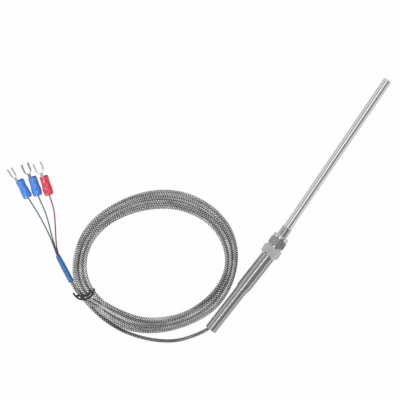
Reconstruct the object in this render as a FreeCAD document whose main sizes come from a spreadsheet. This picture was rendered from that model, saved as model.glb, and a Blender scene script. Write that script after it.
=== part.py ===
import FreeCAD, Part
import math
import os
import Sketcher

from FreeCAD import Placement, Rotation, Vector

# Screw-in temperature probe: a steel sheath with a sliding compression fitting, a stepped
# strain-relief spring and a braided lead in a tied coil, with three fork terminals on its cores.
#
# Millimetres. X runs along the sheath towards its tip, Z points up. The origin is on the
# sheath's axis, in the face of the collar that seats when the process thread is screwed home.
# The probe lies on the floor on a corner of the fitting's hexagon, and so does its lead.

SIZES = (
    # sheath
    ("sheath_od", 6.0),
    ("sheath_wall", 0.5),
    ("tip_wall", 1.2),
    ("tip_round", 0.8),
    ("insertion_length", 134.7),
    ("sheath_back", 22.0),
    ("fit_clearance", 0.05),
    # sensing element, insulator, inner leads and seal
    ("element_od", 2.8),
    ("element_length", 15.0),
    ("element_chamfer", 0.3),
    ("element_gap", 0.5),
    ("insulator_play", 0.2),
    ("lead_od", 0.6),
    ("lead_circle", 1.0),
    ("lead_play", 0.15),
    ("seal_length", 3.0),
    ("seal_gap", 0.3),
    ("splice_od", 1.1),
    ("splice_length", 3.0),
    ("splice_gap", 0.15),
    # threaded fitting
    ("thread_wall", 0.95),
    ("thread_length", 7.2),
    ("thread_chamfer", 0.6),
    ("shoulder_width", 1.8),
    ("collar_length", 2.3),
    ("collar_chamfer", 0.9),
    ("groove_depth", 0.6),
    ("groove_width", 0.4),
    ("hex_length", 6.4),
    ("hex_face_inset", 0.55),
    ("stub_length", 5.0),
    ("stub_chamfer", 0.4),
    ("stub_lip", 0.8),
    ("seat_depth", 2.9),
    ("seat_rise", 1.15),
    # ferrule
    ("ferrule_inset", 0.1),
    ("ferrule_nose", 0.25),
    ("ferrule_land", 0.6),
    ("ferrule_heel", 0.35),
    ("seat_clearance", 0.06),
    # compression nut
    ("nut_length", 7.9),
    ("nut_wall", 0.95),
    ("nut_back_inset", 1.0),
    ("nut_gap", 0.35),
    ("nut_room", 0.35),
    # transition sleeve and spring
    ("spring_gap", 0.15),
    ("sleeve_wall", 0.25),
    ("sleeve_length", 9.5),
    ("sleeve_end", 1.5),
    ("sleeve_chamfer", 0.3),
    ("spring_wire", 1.2),
    ("spring_play", 0.7),
    ("spring_grind", 0.5),
    ("spring_wide_turns", 23),
    ("spring_taper_turns", 4),
    ("spring_narrow_turns", 29),
    ("spring_valley", 0.5),
    ("spring_skew", 3.9),
    ("cable_room", 1.9),
    ("cable_play", 0.3),
    # cable, coil and tie
    ("cable_od", 2.4),
    ("cable_bend_length", 13.0),
    ("coil_outer_major", 59.8),
    ("coil_outer_minor", 51.1),
    ("coil_outer_turn", -45.6),
    ("coil_outer_x", -65.9),
    ("coil_outer_y", 64.0),
    ("coil_inner_major", 50.4),
    ("coil_inner_minor", 38.9),
    ("coil_inner_turn", -50.5),
    ("coil_inner_x", -66.6),
    ("coil_inner_y", 63.4),
    ("coil_height", 6.0),
    ("coil_round", 1.6),
    ("tie_x", -112.0),
    ("tie_y", 92.8),
    ("tie_turn", 57.0),
    ("tie_thickness", 1.1),
    ("tie_width", 1.4),
    ("tie_span", 11.0),
    ("tie_play", 0.15),
    ("tie_round", 1.0),
    ("tie_end_length", 4.5),
    ("tie_end_lean", 35.0),
    # heat-shrink sleeve and cores
    ("shrink_x", -112.05),
    ("shrink_y", 106.0),
    ("shrink_turn", 62.0),
    ("shrink_length", 21.3),
    ("shrink_wall", 0.65),
    ("shrink_play", 0.1),
    ("tail_length", 8.0),
    ("cable_in_shrink", 15.0),
    ("core_od", 1.0),
    ("core_in_shrink", 6.0),
    ("core_lead_in", 1.6),
    # fork terminals
    ("grip_length", 13.9),
    ("grip_entry_od", 7.2),
    ("grip_entry_length", 5.6),
    ("grip_taper", 1.4),
    ("grip_fork_od", 6.3),
    ("grip_chamfer", 0.4),
    ("grip_funnel_od", 4.6),
    ("grip_funnel_depth", 3.2),
    ("grip_mouth_depth", 3.4),
    ("grip_lip", 0.3),
    ("dent_radius", 4.0),
    ("dent_depth", 0.45),
    ("dent_width", 3.0),
    ("barrel_od", 2.8),
    ("barrel_room", 0.7),
    ("barrel_start", 3.5),
    ("barrel_overlap", 0.8),
    ("core_play", 0.1),
    ("core_in_grip", 7.0),
    ("tongue_thickness", 0.8),
    ("tongue_neck", 2.2),
    ("tongue_reach", 11.0),
    ("tongue_setback", 0.3),
    ("fork_skew", 5.0),
    ("fork_pivot", 3.0),
    ("fork_slot", 4.3),
    ("fork_slot_length", 8.0),
    ("fork_tine", 1.1),
    ("fork_flare", 2.4),
    ("fork_round", 0.5),
    ("fork_shoulder", 2.0),
)

# The cable from inside the spring's end to the coil: x, y and how far it has come down
# from the sheath's axis to the floor.
CABLE_RUN = (
    (-78.4, 4.28, 0.0),
    (-85.7, 6.7, 0.05),
    (-92.0, 10.2, 0.24),
    (-98.7, 14.9, 0.5),
    (-105.0, 20.4, 0.76),
    (-110.4, 28.0, 0.94),
    (-115.1, 37.1, 1.0),
    (-118.9, 47.9, 1.0),
    (-121.2, 60.3, 1.0),
    (-121.2, 73.3, 1.0),
    (-119.2, 85.0, 1.0),
)

# Each core and its terminal: the core's free points (x, y, height over the floor), its place
# in the cable's end (across, up), and the terminal's corner where the core goes in.
TERMINALS = {
    "red": {
        "seat": (-0.55, -0.3),
        "route": ((-97.45, 129.1, 1.05), (-91.4, 134.0, 0.5), (-83.5, 139.8, 0.5), (-76.2, 145.6, 1.5)),
        "entry": (-69.3, 154.2),
        "heading": 51.0,
        "roll": 8.0,
    },
    "blue_middle": {
        "seat": (0.0, 0.6),
        "route": ((-98.2, 129.5, 1.8), (-93.0, 136.3, 0.8), (-86.4, 143.5, 0.5), (-80.6, 150.6, 1.5)),
        "entry": (-74.2, 160.6),
        "heading": 52.0,
        "roll": 35.0,
    },
    "blue_outer": {
        "seat": (0.55, -0.3),
        "route": ((-98.9, 129.9, 0.9), (-93.9, 137.2, 0.5), (-88.6, 146.5, 0.5), (-84.0, 155.6, 1.5)),
        "entry": (-79.4, 165.7),
        "heading": 61.0,
        "roll": 60.0,
    },
}
SEAT_ANGLES = {"red": 330, "blue_middle": 90, "blue_outer": 210}

ARC_SHARE = 0.45
HEX_CHAMFER_ANGLE = 35
NUT_BACK_ANGLE = 40

doc = FreeCAD.newDocument("temperature_probe")
dim = doc.addObject("Spreadsheet::Sheet", "dim")
for row, (alias, value) in enumerate(SIZES, start=1):
    dim.set(f"A{row}", alias)
    dim.set(f"B{row}", str(value))
    dim.setAlias(f"B{row}", alias)
doc.recompute()

# Sizes that follow from the sheet, as expressions.
SHEATH_R = "(dim.sheath_od / 2)"
SHEATH_BORE_R = f"({SHEATH_R} - dim.sheath_wall)"
SLIDE_R = f"({SHEATH_R} + dim.fit_clearance)"
THREAD_R = f"({SLIDE_R} + dim.thread_wall)"
COLLAR_R = f"({THREAD_R} + dim.shoulder_width)"
SEAT_MOUTH_R = f"({SLIDE_R} + dim.seat_rise)"
STUB_R = f"({SEAT_MOUTH_R} + dim.stub_lip)"
NUT_THREAD_R = f"({STUB_R} + dim.fit_clearance)"
HEX_FLAT_R = f"({NUT_THREAD_R} + dim.nut_wall)"
HEX_CORNER_R = f"({HEX_FLAT_R} / cos(30))"
HEX_FACE_R = f"({HEX_FLAT_R} - dim.hex_face_inset)"
HEX_CHAMFER = f"(({HEX_CORNER_R} - {HEX_FACE_R}) * tan({HEX_CHAMFER_ANGLE}))"
NUT_BACK_FACE_R = f"({HEX_FLAT_R} - dim.nut_back_inset)"
NUT_BACK_CHAMFER = f"(({HEX_CORNER_R} - {NUT_BACK_FACE_R}) * tan({NUT_BACK_ANGLE}))"
BODY_BACK = "(dim.collar_length + dim.groove_width + dim.hex_length)"
STUB_BACK = f"({BODY_BACK} + dim.stub_length)"
NUT_BACK = f"({BODY_BACK} + dim.nut_gap + dim.nut_length)"
SPRING_FRONT = f"({NUT_BACK} + dim.spring_gap)"
SEAT_SLOPE = "(dim.seat_rise / dim.seat_depth)"
FERRULE_R = f"({SEAT_MOUTH_R} - dim.ferrule_inset)"
FERRULE_NOSE_R = f"({SLIDE_R} + dim.ferrule_nose)"
FERRULE_HEEL_R = f"({SLIDE_R} + dim.ferrule_heel)"
FERRULE_HEEL_LENGTH = f"({FERRULE_R} - {FERRULE_HEEL_R})"
FERRULE_CONE_LENGTH = f"(({FERRULE_R} - {FERRULE_NOSE_R}) / {SEAT_SLOPE})"
FERRULE_LAND_BACK = (
    f"({STUB_BACK} - (dim.ferrule_inset - dim.seat_clearance) / {SEAT_SLOPE} + dim.ferrule_land)"
)
SLEEVE_R = f"({SLIDE_R} + dim.sleeve_wall)"
SPRING_WIDE_R = f"({SLEEVE_R} + dim.spring_play + dim.spring_wire)"
CABLE_R = "(dim.cable_od / 2)"
SPRING_NARROW_R = f"({CABLE_R} + dim.cable_room + dim.spring_wire)"
SPRING_TURNS = "(dim.spring_wide_turns + dim.spring_taper_turns + dim.spring_narrow_turns)"
SPRING_LENGTH = f"({SPRING_TURNS} * dim.spring_wire)"
TAPER_START = "((dim.spring_wide_turns - 0.5) * dim.spring_wire)"
TAPER_END = "((dim.spring_wide_turns + dim.spring_taper_turns + 0.5) * dim.spring_wire)"
FLOOR = f"(-{HEX_CORNER_R})"
SHRINK_BORE_R = f"({CABLE_R} + dim.shrink_play)"
SHRINK_R = f"({SHRINK_BORE_R} + dim.shrink_wall)"
CORE_R = "(dim.core_od / 2)"
GRIP_ENTRY_R = "(dim.grip_entry_od / 2)"
GRIP_FORK_R = "(dim.grip_fork_od / 2)"
BARREL_R = "(dim.barrel_od / 2)"
FORK_HALF = "(dim.fork_slot / 2 + dim.fork_tine)"

nodes = {}


def size(expression):
    """What an expression of the sheet's sizes comes to."""
    return float(dim.evalExpression(expression.replace("dim.", "")))


def heading(degrees):
    """The level direction that stands so many degrees from X."""
    return Vector(math.cos(math.radians(degrees)), math.sin(math.radians(degrees)), 0)


def new_body(label):
    """An empty body that becomes the node of that name."""
    body = doc.addObject("PartDesign::Body", label)
    body.Label = label
    nodes[label] = body
    return body


def keep(part, label):
    """Makes a finished part the node of that name."""
    part.Label = label
    nodes[label] = part
    return part


def place(part, along="0", across="0", up="0"):
    """Binds where a part's own origin stands."""
    for axis, expression in zip("xyz", (along, across, up)):
        part.setExpression(f"Placement.Base.{axis}", expression)


def new_sketch(body, name, plane, offset="0"):
    """A sketch on one of the body's own planes, moved along that plane's normal."""
    sketch = body.newObject("Sketcher::SketchObject", name)
    support = next(f for f in body.Origin.OriginFeatures if f.Role == plane)
    sketch.AttachmentSupport = (support, "")
    sketch.MapMode = "FlatFace"
    sketch.setExpression("AttachmentOffset.Base.z", offset)
    return sketch


def bind_point(sketch, geometry, position, across, up):
    """Ties a point of a sketch to a pair of sheet expressions."""
    for kind, axis, expression in (("DistanceX", -2, across), ("DistanceY", -1, up)):
        if expression == "0":
            sketch.addConstraint(Sketcher.Constraint("PointOnObject", geometry, position, axis))
            continue
        value = size(expression)
        index = sketch.addConstraint(Sketcher.Constraint(kind, -1, 1, geometry, position, value))
        sketch.setExpression(f"Constraints[{index}]", expression)


def draw_outline(sketch, points):
    """A closed outline of straight lines through pairs of sheet expressions."""
    spots = [Vector(size(across), size(up), 0) for across, up in points]
    count = len(spots)
    sketch.addGeometry([Part.LineSegment(spots[i], spots[(i + 1) % count]) for i in range(count)])
    sketch.addConstraint(
        [Sketcher.Constraint("Coincident", i, 2, (i + 1) % count, 1) for i in range(count)]
    )
    for i, (across, up) in enumerate(points):
        bind_point(sketch, i, 1, across, up)


def draw_circle(sketch, across, up, radius):
    """A circle whose middle and radius are sheet expressions."""
    middle = Vector(size(across), size(up), 0)
    circle = sketch.addGeometry(Part.Circle(middle, Vector(0, 0, 1), size(radius)))
    if across == "0" and up == "0":
        sketch.addConstraint(Sketcher.Constraint("Coincident", circle, 3, -1, 1))
    else:
        bind_point(sketch, circle, 3, across, up)
    index = sketch.addConstraint(Sketcher.Constraint("Radius", circle, size(radius)))
    sketch.setExpression(f"Constraints[{index}]", radius)


def revolve(body, outline):
    """Turns an outline of (along, radius) about the body's X axis."""
    sketch = new_sketch(body, "outline", "XY_Plane")
    draw_outline(sketch, outline)
    turned = body.newObject("PartDesign::Revolution", "turned")
    turned.Profile = sketch
    turned.ReferenceAxis = (sketch, ["H_Axis"])
    turned.Angle = 360
    doc.recompute()


def pad(body, sketch, length):
    """Pads a sketch along its plane's normal."""
    feature = body.newObject("PartDesign::Pad", "pad")
    feature.Profile = sketch
    feature.setExpression("Length", length)
    doc.recompute()


def pocket(body, sketch, length, both_ways=False, forwards=False):
    """Cuts a sketch into the body and makes sure that something came away."""
    before = body.Shape.Volume
    feature = body.newObject("PartDesign::Pocket", "pocket")
    feature.Profile = sketch
    feature.Midplane = both_ways
    feature.Reversed = forwards
    feature.setExpression("Length", length)
    doc.recompute()
    if not body.Shape.Volume < before:
        raise RuntimeError(f"{body.Label}: a pocket cut nothing")


def fillet(body, radius, chosen):
    """Rounds the edges of the body's last feature that the test picks."""
    base = body.Tip
    names = [f"Edge{i}" for i, edge in enumerate(base.Shape.Edges, start=1) if chosen(edge)]
    feature = body.newObject("PartDesign::Fillet", "rounded")
    feature.Base = (base, names)
    feature.setExpression("Radius", radius)
    doc.recompute()


def stands_at(edge, along, across=None):
    """Whether an edge is upright, so far along X and, if asked, so far to either side."""
    box = edge.BoundBox
    upright = box.XLength + box.YLength < 0.01
    beside = across is None or abs(abs(box.YMin) - across) < 0.01
    return upright and abs(box.XMin - along) < 0.01 and beside


def mill_hexagon(body, front, length, first_corner):
    """Mills six flats on a turned body, from a place on its axis and backwards."""
    sketch = new_sketch(body, "flats", "YZ_Plane", front)
    corners = [first_corner + 60 * i for i in range(6)]
    draw_outline(sketch, [(f"{HEX_CORNER_R} * cos({a})", f"{HEX_CORNER_R} * sin({a})") for a in corners])
    draw_circle(sketch, "0", "0", f"{HEX_CORNER_R} + dim.nut_wall")
    pocket(body, sketch, length)


def rod(label, radius, back, length, across="0", up="0"):
    """A plain round rod along X that starts so far behind the origin."""
    cylinder = doc.addObject("Part::Cylinder", label)
    cylinder.Placement = Placement(Vector(), Rotation(Vector(0, 1, 0), 90))
    cylinder.setExpression("Radius", radius)
    cylinder.setExpression("Height", length)
    place(cylinder, f"-{back}", across, up)
    return keep(cylinder, label)


def seat_on_circle(label):
    """Where an inner lead stands across the sheath, as two expressions."""
    angle = SEAT_ANGLES[label]
    return f"dim.lead_circle * cos({angle})", f"dim.lead_circle * sin({angle})"


def bored_rod(label, radius, bore, back, length):
    """A rod along X with a bore for each inner lead."""
    body = new_body(label)
    sketch = new_sketch(body, "section", "YZ_Plane")
    draw_circle(sketch, "0", "0", radius)
    for name in TERMINALS:
        draw_circle(sketch, *seat_on_circle(name), bore)
    pad(body, sketch, length)
    place(body, f"-{back}")


def cord_path(points):
    """Straight runs from point to point, joined by arcs as large as the runs allow."""
    edges = []
    radii = []
    start = points[0]
    for before, corner, after in zip(points, points[1:], points[2:]):
        back = (before - corner).normalize()
        ahead = (after - corner).normalize()
        reach = ARC_SHARE * min((before - corner).Length, (after - corner).Length)
        half_turn = (math.pi - back.getAngle(ahead)) / 2
        radius = reach / math.tan(half_turn)
        inwards = (back + ahead).normalize()
        enter = corner + back * reach
        crown = corner + inwards * (radius / math.cos(half_turn) - radius)
        leave = corner + ahead * reach
        edges.append(Part.LineSegment(start, enter).toShape())
        edges.append(Part.Arc(enter, crown, leave).toShape())
        radii.append(radius)
        start = leave
    edges.append(Part.LineSegment(start, points[-1]).toShape())
    return Part.Wire(edges), radii


def straight_cord(label, start, end, radius):
    """A round tube along one straight run."""
    tube = doc.addObject("Part::Feature", label)
    tube.Shape = Part.makeCylinder(radius, (end - start).Length, start, end - start)
    return keep(tube, label)


def cord(label, points, radius):
    """A round tube along a route, measured against its section times its length."""
    path, radii = cord_path(points)
    section = Part.Circle(points[0], points[1] - points[0], radius).toShape()
    tube = doc.addObject("Part::Feature", label)
    tube.Shape = path.makePipeShell([Part.Wire([section])], True, False)
    plain = math.pi * radius**2 * path.Length
    print(f"{label}: {path.Length:.1f} mm, radii from {min(radii):.1f} to {max(radii):.1f} mm,"
          f" volume {tube.Shape.Volume / plain:.4f} of plain")
    return keep(tube, label)


# Sheath: a tube with a welded, rounded tip.
sheath = new_body("probe_sheath")
SHEATH_LENGTH = "(dim.sheath_back + dim.insertion_length)"
revolve(sheath, (
    ("0", SHEATH_BORE_R),
    ("0", SHEATH_R),
    (SHEATH_LENGTH, SHEATH_R),
    (SHEATH_LENGTH, "0"),
    (f"{SHEATH_LENGTH} - dim.tip_wall", "0"),
    (f"{SHEATH_LENGTH} - dim.tip_wall", SHEATH_BORE_R),
))
tip_x = size(SHEATH_LENGTH)
fillet(sheath, "dim.tip_round", lambda e: e.BoundBox.XMin > tip_x - 0.01 and e.BoundBox.YLength > 0.01)
place(sheath, "-dim.sheath_back")

# Sensing element behind the tip, with its leads through the insulator and the seal.
ELEMENT_FRONT = "(dim.insertion_length - dim.tip_wall - dim.element_gap)"
ELEMENT_BACK = f"({ELEMENT_FRONT} - dim.element_length)"
element = new_body("sensing_element")
revolve(element, (
    ("0", "0"),
    ("0", "dim.element_od / 2 - dim.element_chamfer / 2"),
    ("dim.element_chamfer / 2", "dim.element_od / 2"),
    ("dim.element_length - dim.element_chamfer", "dim.element_od / 2"),
    ("dim.element_length", "dim.element_od / 2 - dim.element_chamfer"),
    ("dim.element_length", "0"),
))
place(element, ELEMENT_BACK)

LEAD_R = "(dim.lead_od / 2)"
LEAD_BORE_R = f"({LEAD_R} + dim.lead_play)"
SEAL_BACK = "(dim.sheath_back - dim.seal_gap)"
INSULATOR_BACK = f"({SEAL_BACK} - dim.seal_length - dim.seal_gap)"
INSULATOR_LENGTH = f"({INSULATOR_BACK} + {ELEMENT_BACK} - dim.element_gap)"
SPLICE_BACK = f"({SPRING_FRONT} + dim.sleeve_length - dim.sleeve_end)"
LEAD_BACK = f"({SPLICE_BACK} - dim.splice_length)"
bored_rod("ceramic_insulator", f"{SHEATH_BORE_R} - dim.insulator_play", LEAD_BORE_R,
          INSULATOR_BACK, INSULATOR_LENGTH)
bored_rod("end_seal", f"{SHEATH_BORE_R} - dim.fit_clearance", LEAD_BORE_R, SEAL_BACK, "dim.seal_length")
for name in TERMINALS:
    rod(f"inner_lead_{name}", LEAD_R, LEAD_BACK, f"{LEAD_BACK} + {ELEMENT_BACK}", *seat_on_circle(name))
    rod(f"splice_{name}", "dim.splice_od / 2", SPLICE_BACK, "dim.splice_length", *seat_on_circle(name))

# Threaded fitting: process thread, seating collar, hexagon, and the stub that takes the nut,
# with a conical seat for the ferrule in its mouth. One corner of the hexagon points down.
fitting = new_body("threaded_fitting")
HEX_FRONT = "(dim.stub_length + dim.hex_length)"
COLLAR_BACK = f"({HEX_FRONT} + dim.groove_width)"
SHOULDER = f"({COLLAR_BACK} + dim.collar_length)"
THREAD_END = f"({SHOULDER} + dim.thread_length)"
revolve(fitting, (
    ("0", SEAT_MOUTH_R),
    ("0", f"{STUB_R} - dim.stub_chamfer"),
    ("dim.stub_chamfer", STUB_R),
    ("dim.stub_length", STUB_R),
    ("dim.stub_length", HEX_FACE_R),
    (f"dim.stub_length + {HEX_CHAMFER}", HEX_CORNER_R),
    (f"{HEX_FRONT} - {HEX_CHAMFER}", HEX_CORNER_R),
    (HEX_FRONT, HEX_FACE_R),
    (HEX_FRONT, f"{COLLAR_R} - dim.groove_depth"),
    (COLLAR_BACK, f"{COLLAR_R} - dim.groove_depth"),
    (COLLAR_BACK, COLLAR_R),
    (f"{SHOULDER} - dim.collar_chamfer", COLLAR_R),
    (SHOULDER, f"{COLLAR_R} - dim.collar_chamfer"),
    (SHOULDER, THREAD_R),
    (f"{THREAD_END} - dim.thread_chamfer", THREAD_R),
    (THREAD_END, f"{THREAD_R} - dim.thread_chamfer"),
    (THREAD_END, SLIDE_R),
    ("dim.seat_depth", SLIDE_R),
))
mill_hexagon(fitting, HEX_FRONT, "dim.hex_length", 30)
place(fitting, f"-{STUB_BACK}")

# Ferrule: its nose lies in the fitting's seat and its heel in the nut's.
ferrule = new_body("ferrule")
FERRULE_NOSE = f"({FERRULE_HEEL_LENGTH} + dim.ferrule_land + {FERRULE_CONE_LENGTH})"
revolve(ferrule, (
    ("0", SLIDE_R),
    ("0", FERRULE_HEEL_R),
    (FERRULE_HEEL_LENGTH, FERRULE_R),
    (f"{FERRULE_HEEL_LENGTH} + dim.ferrule_land", FERRULE_R),
    (FERRULE_NOSE, FERRULE_NOSE_R),
    (FERRULE_NOSE, SLIDE_R),
))
place(ferrule, f"-({FERRULE_LAND_BACK} + {FERRULE_HEEL_LENGTH})")

# Compression nut: threaded over the stub, with a conical seat behind the ferrule. A flat is up.
nut = new_body("compression_nut")
NUT_THREAD_STOP = f"({NUT_BACK} - {STUB_BACK} - dim.nut_room)"
NUT_CAVITY_R = f"({FERRULE_R} + dim.ferrule_inset)"
NUT_CONE_TOP = f"({NUT_BACK} - {FERRULE_LAND_BACK} - dim.seat_clearance)"
NUT_CONE_FOOT = f"({NUT_CONE_TOP} - ({NUT_CAVITY_R} - {SLIDE_R}))"
revolve(nut, (
    ("0", SLIDE_R),
    ("0", NUT_BACK_FACE_R),
    (NUT_BACK_CHAMFER, HEX_CORNER_R),
    (f"dim.nut_length - {HEX_CHAMFER}", HEX_CORNER_R),
    ("dim.nut_length", HEX_FACE_R),
    ("dim.nut_length", NUT_THREAD_R),
    (NUT_THREAD_STOP, NUT_THREAD_R),
    (NUT_THREAD_STOP, NUT_CAVITY_R),
    (NUT_CONE_TOP, NUT_CAVITY_R),
    (NUT_CONE_FOOT, SLIDE_R),
))
mill_hexagon(nut, "dim.nut_length", "dim.nut_length", 0)
place(nut, f"-{NUT_BACK}")

# Transition sleeve: crimped on the sheath's open end, with the cable through its back wall.
sleeve = new_body("transition_sleeve")
SLEEVE_STEP = f"({SPRING_FRONT} + dim.sleeve_length - dim.sheath_back - dim.seal_gap)"
revolve(sleeve, (
    ("0", f"{CABLE_R} + dim.cable_play"),
    ("0", f"{SLEEVE_R} - dim.sleeve_chamfer"),
    ("dim.sleeve_chamfer", SLEEVE_R),
    ("dim.sleeve_length", SLEEVE_R),
    ("dim.sleeve_length", SLIDE_R),
    (SLEEVE_STEP, SLIDE_R),
    (SLEEVE_STEP, SHEATH_BORE_R),
    ("dim.sleeve_end", SHEATH_BORE_R),
    ("dim.sleeve_end", f"{CABLE_R} + dim.cable_play"),
))
place(sleeve, f"-({SPRING_FRONT} + dim.sleeve_length)")

# Strain-relief spring: close-wound, wide over the sleeve, drawn in over a few turns and narrow over
# the cable. Each turn shows as a ridge. It swings a little to one side about its head, which is
# ground square to the probe.
wide_turns = int(size("dim.spring_wide_turns"))
taper_turns = int(size("dim.spring_taper_turns"))
all_turns = wide_turns + taper_turns + int(size("dim.spring_narrow_turns"))


def spring_crest(turn):
    """The outer radius of a turn, as an expression."""
    drawn_in = min(max(turn + 1 - wide_turns, 0) / (taper_turns + 1), 1)
    return f"({SPRING_WIDE_R} - {drawn_in} * ({SPRING_WIDE_R} - {SPRING_NARROW_R}))"


outline = [("0", f"{SPRING_WIDE_R} - dim.spring_wire"), ("0", f"{SPRING_WIDE_R} - dim.spring_valley")]
for turn in range(all_turns):
    outline.append((f"dim.spring_wire * {turn + 0.5}", spring_crest(turn)))
    outline.append((f"dim.spring_wire * {turn + 1}", f"{spring_crest(turn + 1)} - dim.spring_valley"))
outline.append((SPRING_LENGTH, f"{SPRING_NARROW_R} - dim.spring_wire"))
outline.append((TAPER_END, f"{SPRING_NARROW_R} - dim.spring_wire"))
outline.append((TAPER_START, f"{SPRING_WIDE_R} - dim.spring_wire"))
blank = doc.addObject("PartDesign::Body", "spring_blank")
revolve(blank, outline)
blank.setExpression("Placement.Rotation.Angle", "180 deg - dim.spring_skew * 1 deg")
place(blank, f"dim.spring_grind - {SPRING_FRONT}")
grinding = doc.addObject("Part::Box", "spring_grinding")
grinding.setExpression("Length", "2 * dim.spring_grind")
for side in ("Width", "Height"):
    grinding.setExpression(side, f"4 * {SPRING_WIDE_R}")
place(grinding, f"-{SPRING_FRONT}", f"-2 * {SPRING_WIDE_R}", f"-2 * {SPRING_WIDE_R}")
spring = doc.addObject("Part::Cut", "strain_relief_spring")
spring.Base = blank
spring.Tool = grinding
keep(spring, "strain_relief_spring")

# Cable: straight through the sleeve and the spring, then bent to its side and out to the floor.
cable_r = size(CABLE_R)
floor_z = size(FLOOR)
swing = heading(180 - size("dim.spring_skew"))
spring_end = Vector(size(f"dim.spring_grind - {SPRING_FRONT}"), 0, 0) + swing * size(SPRING_LENGTH)
bend_start = spring_end - swing * size("dim.cable_bend_length")
entry_start = Vector(-size(f"{SPLICE_BACK} + dim.splice_gap"), 0, 0)
straight_cord("cable_entry", entry_start, bend_start, cable_r)

lying = floor_z + cable_r
run = [bend_start] + [Vector(x, y, lying * fallen) for x, y, fallen in CABLE_RUN]
cord("cable_run", run, cable_r)

# Coil: one ring between two ovals, with a notch in its underside where the tie passes.


def oval(name):
    """A solid oval of the coil's height, from its own sizes in the sheet."""
    curve = doc.addObject("Part::Ellipse", f"{name}_curve")
    curve.setExpression("MajorRadius", f"dim.{name}_major")
    curve.setExpression("MinorRadius", f"dim.{name}_minor")
    curve.setExpression("Placement.Rotation.Angle", f"dim.{name}_turn * 1 deg")
    place(curve, f"dim.{name}_x", f"dim.{name}_y", FLOOR)
    block = doc.addObject("Part::Extrusion", name)
    block.Base = curve
    block.DirMode = "Custom"
    block.Dir = Vector(0, 0, 1)
    block.Solid = True
    block.setExpression("LengthFwd", "dim.coil_height")
    return block


ring = doc.addObject("Part::Cut", "coil_ring")
ring.Base = oval("coil_outer")
ring.Tool = oval("coil_inner")
doc.recompute()
rounded_ring = doc.addObject("Part::Fillet", "coil_rounded")
rounded_ring.Base = ring
rims = [i for i, edge in enumerate(ring.Shape.Edges, start=1) if edge.BoundBox.ZLength < 0.01]
rounded_ring.Edges = [(i, size("dim.coil_round"), size("dim.coil_round")) for i in rims]
doc.recompute()

NOTCH_DEPTH = "(dim.tie_thickness + dim.tie_play)"
NOTCH_WIDTH = "(dim.tie_width + 2 * dim.tie_play)"
TIE_OUTER_SPAN = "(dim.tie_span + 2 * dim.tie_thickness)"
notch = doc.addObject("Part::Box", "coil_notch")
notch.setExpression("Length", NOTCH_WIDTH)
notch.setExpression("Width", TIE_OUTER_SPAN)
notch.setExpression("Height", NOTCH_DEPTH)
notch.setExpression("Placement.Rotation.Angle", "dim.tie_turn * 1 deg")
place(notch,
      f"dim.tie_x - cos(dim.tie_turn) * {NOTCH_WIDTH} / 2 + sin(dim.tie_turn) * {TIE_OUTER_SPAN} / 2",
      f"dim.tie_y - sin(dim.tie_turn) * {NOTCH_WIDTH} / 2 - cos(dim.tie_turn) * {TIE_OUTER_SPAN} / 2",
      FLOOR)
coil = doc.addObject("Part::Cut", "cable_coil")
coil.Base = rounded_ring
coil.Tool = notch
keep(coil, "cable_coil")

# Tie: a band of coated wire round the bundle, with its two ends turned up and out.
TIE_TOP = "(dim.coil_height + dim.tie_play + dim.tie_thickness)"
TIE_HALF = "(dim.tie_span / 2)"
band = doc.addObject("PartDesign::Body", "tie_band")
band_sketch = new_sketch(band, "band", "YZ_Plane", "-dim.tie_width / 2")
draw_outline(band_sketch, (
    (f"-({TIE_HALF} + dim.tie_thickness)", "0"),
    (f"{TIE_HALF} + dim.tie_thickness", "0"),
    (f"{TIE_HALF} + dim.tie_thickness", TIE_TOP),
    (f"-({TIE_HALF} + dim.tie_thickness)", TIE_TOP),
))
pad(band, band_sketch, "dim.tie_width")
fillet(band, "dim.tie_round", lambda e: e.BoundBox.XLength > 0.01)
hole_sketch = new_sketch(band, "opening", "YZ_Plane", "dim.tie_width / 2")
draw_outline(hole_sketch, (
    (f"-{TIE_HALF}", "dim.tie_thickness"),
    (TIE_HALF, "dim.tie_thickness"),
    (TIE_HALF, f"{TIE_TOP} - dim.tie_thickness"),
    (f"-{TIE_HALF}", f"{TIE_TOP} - dim.tie_thickness"),
))
pocket(band, hole_sketch, "dim.tie_width")
ends = []
for side in (-1, 1):
    end = doc.addObject("Part::Cylinder", "tie_end")
    end.setExpression("Radius", "dim.tie_thickness / 2")
    end.setExpression("Height", "dim.tie_end_length")
    end.Placement = Placement(Vector(), Rotation(Vector(1, 0, 0), -side * size("dim.tie_end_lean")))
    place(end, "0", f"{side} * ({TIE_HALF} - dim.tie_thickness)", f"{TIE_TOP} - dim.tie_thickness / 2")
    ends.append(end)
tie = doc.addObject("Part::MultiFuse", "coil_tie")
tie.Shapes = [band, *ends]
tie.setExpression("Placement.Rotation.Angle", "dim.tie_turn * 1 deg")
place(tie, "dim.tie_x", "dim.tie_y", FLOOR)
keep(tie, "coil_tie")

# Heat-shrink sleeve over the cable's end, and the last of the cable inside it.
shrink_way = heading(size("dim.shrink_turn"))
shrink_height = floor_z + size(SHRINK_R)
shrink_start = Vector(size("dim.shrink_x"), size("dim.shrink_y"), shrink_height)
shrink = new_body("heat_shrink_sleeve")
revolve(shrink, (
    ("0", SHRINK_BORE_R),
    ("0", SHRINK_R),
    ("dim.shrink_length", SHRINK_R),
    ("dim.shrink_length", SHRINK_BORE_R),
))
shrink.setExpression("Placement.Rotation.Angle", "dim.shrink_turn * 1 deg")
place(shrink, "dim.shrink_x", "dim.shrink_y", f"{FLOOR} + {SHRINK_R}")

tail_start = shrink_start - shrink_way * size("dim.tail_length")
cable_end = shrink_start + shrink_way * size("dim.cable_in_shrink")
straight_cord("cable_tail", tail_start, cable_end, cable_r)


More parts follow.
